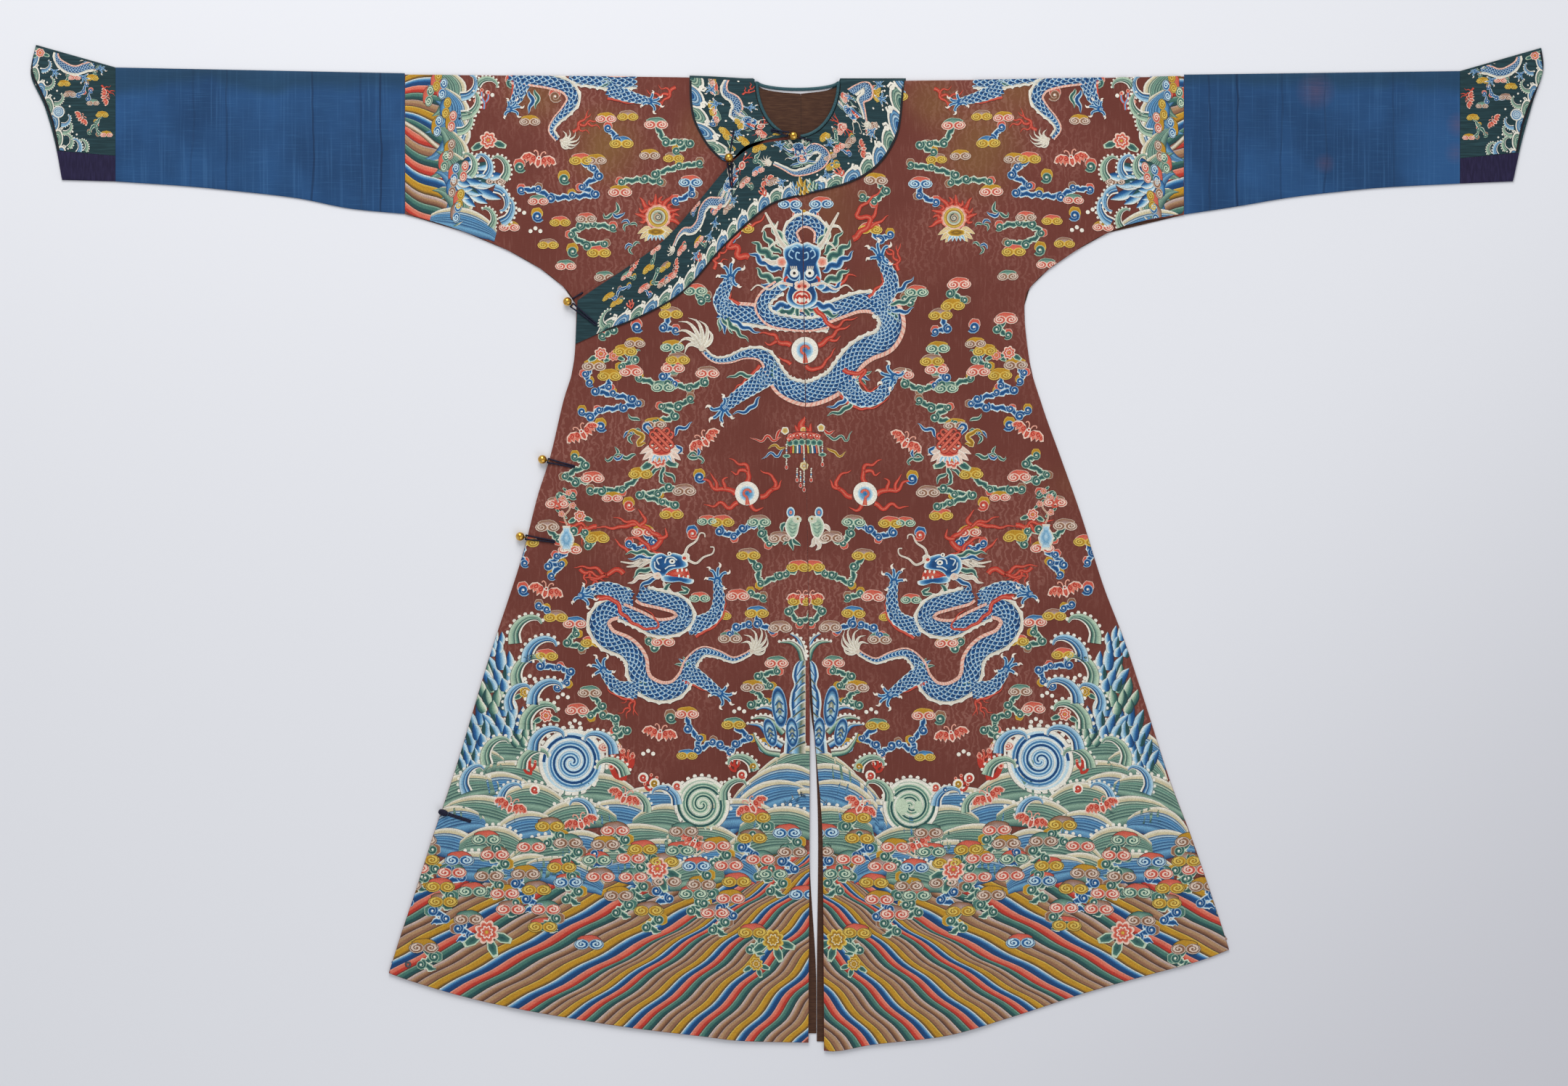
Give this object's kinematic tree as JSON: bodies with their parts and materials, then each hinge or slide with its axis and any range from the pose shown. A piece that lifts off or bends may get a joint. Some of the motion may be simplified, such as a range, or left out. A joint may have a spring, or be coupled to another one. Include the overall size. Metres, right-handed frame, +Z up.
{
  "type": "chinese dragon robe",
  "caption": "Full-length embroidered silk robe laid flat: side-fastening wrap front, shaped collar band, plain blue sleeves, flared horse-hoof cuffs and ball buttons",
  "frame": {"origin": "on the floor, in the middle of the robe's bounding box", "axes": "+X along the sleeves, to the wearer's left; +Y from the hem up to the neck; +Z up, out of the front"},
  "size_m": [2.1441, 1.4266, 0.0182],
  "materials": {
    "maroon_silk": "satin",
    "teal_silk": "matte",
    "blue_silk": "satin",
    "navy_silk": "matte",
    "binding_silk": "satin",
    "cord": "matte",
    "button_brass": "polished",
    "snap_steel": "satin"
  },
  "bodies": {
    "root": {"button_armpit": "button_brass", "button_clavicle": "button_brass", "button_lower": "button_brass", "button_neck": "button_brass", "button_side": "button_brass", "collar_band": "teal_silk", "collar_left": "teal_silk", "cord_armpit": "cord", "cord_clavicle": "cord", "cord_neck": "cord", "cuff_left": "teal_silk", "cuff_right": "teal_silk", "cuff_strip_left": "navy_silk", "cuff_strip_right": "navy_silk", "knot": "cord", "knot_tab": "cord", "left_width_inner_front_and_back": "maroon_silk", "loop_armpit": "cord", "loop_clavicle": "cord", "loop_lower": "cord", "loop_neck": "cord", "loop_side": "cord", "neck_binding": "binding_silk", "outer_front": "maroon_silk", "right_width_front_and_back": "maroon_silk", "sleeve_left": "blue_silk", "sleeve_right": "blue_silk", "snap": "snap_steel"}
  },
  "joints": []
}
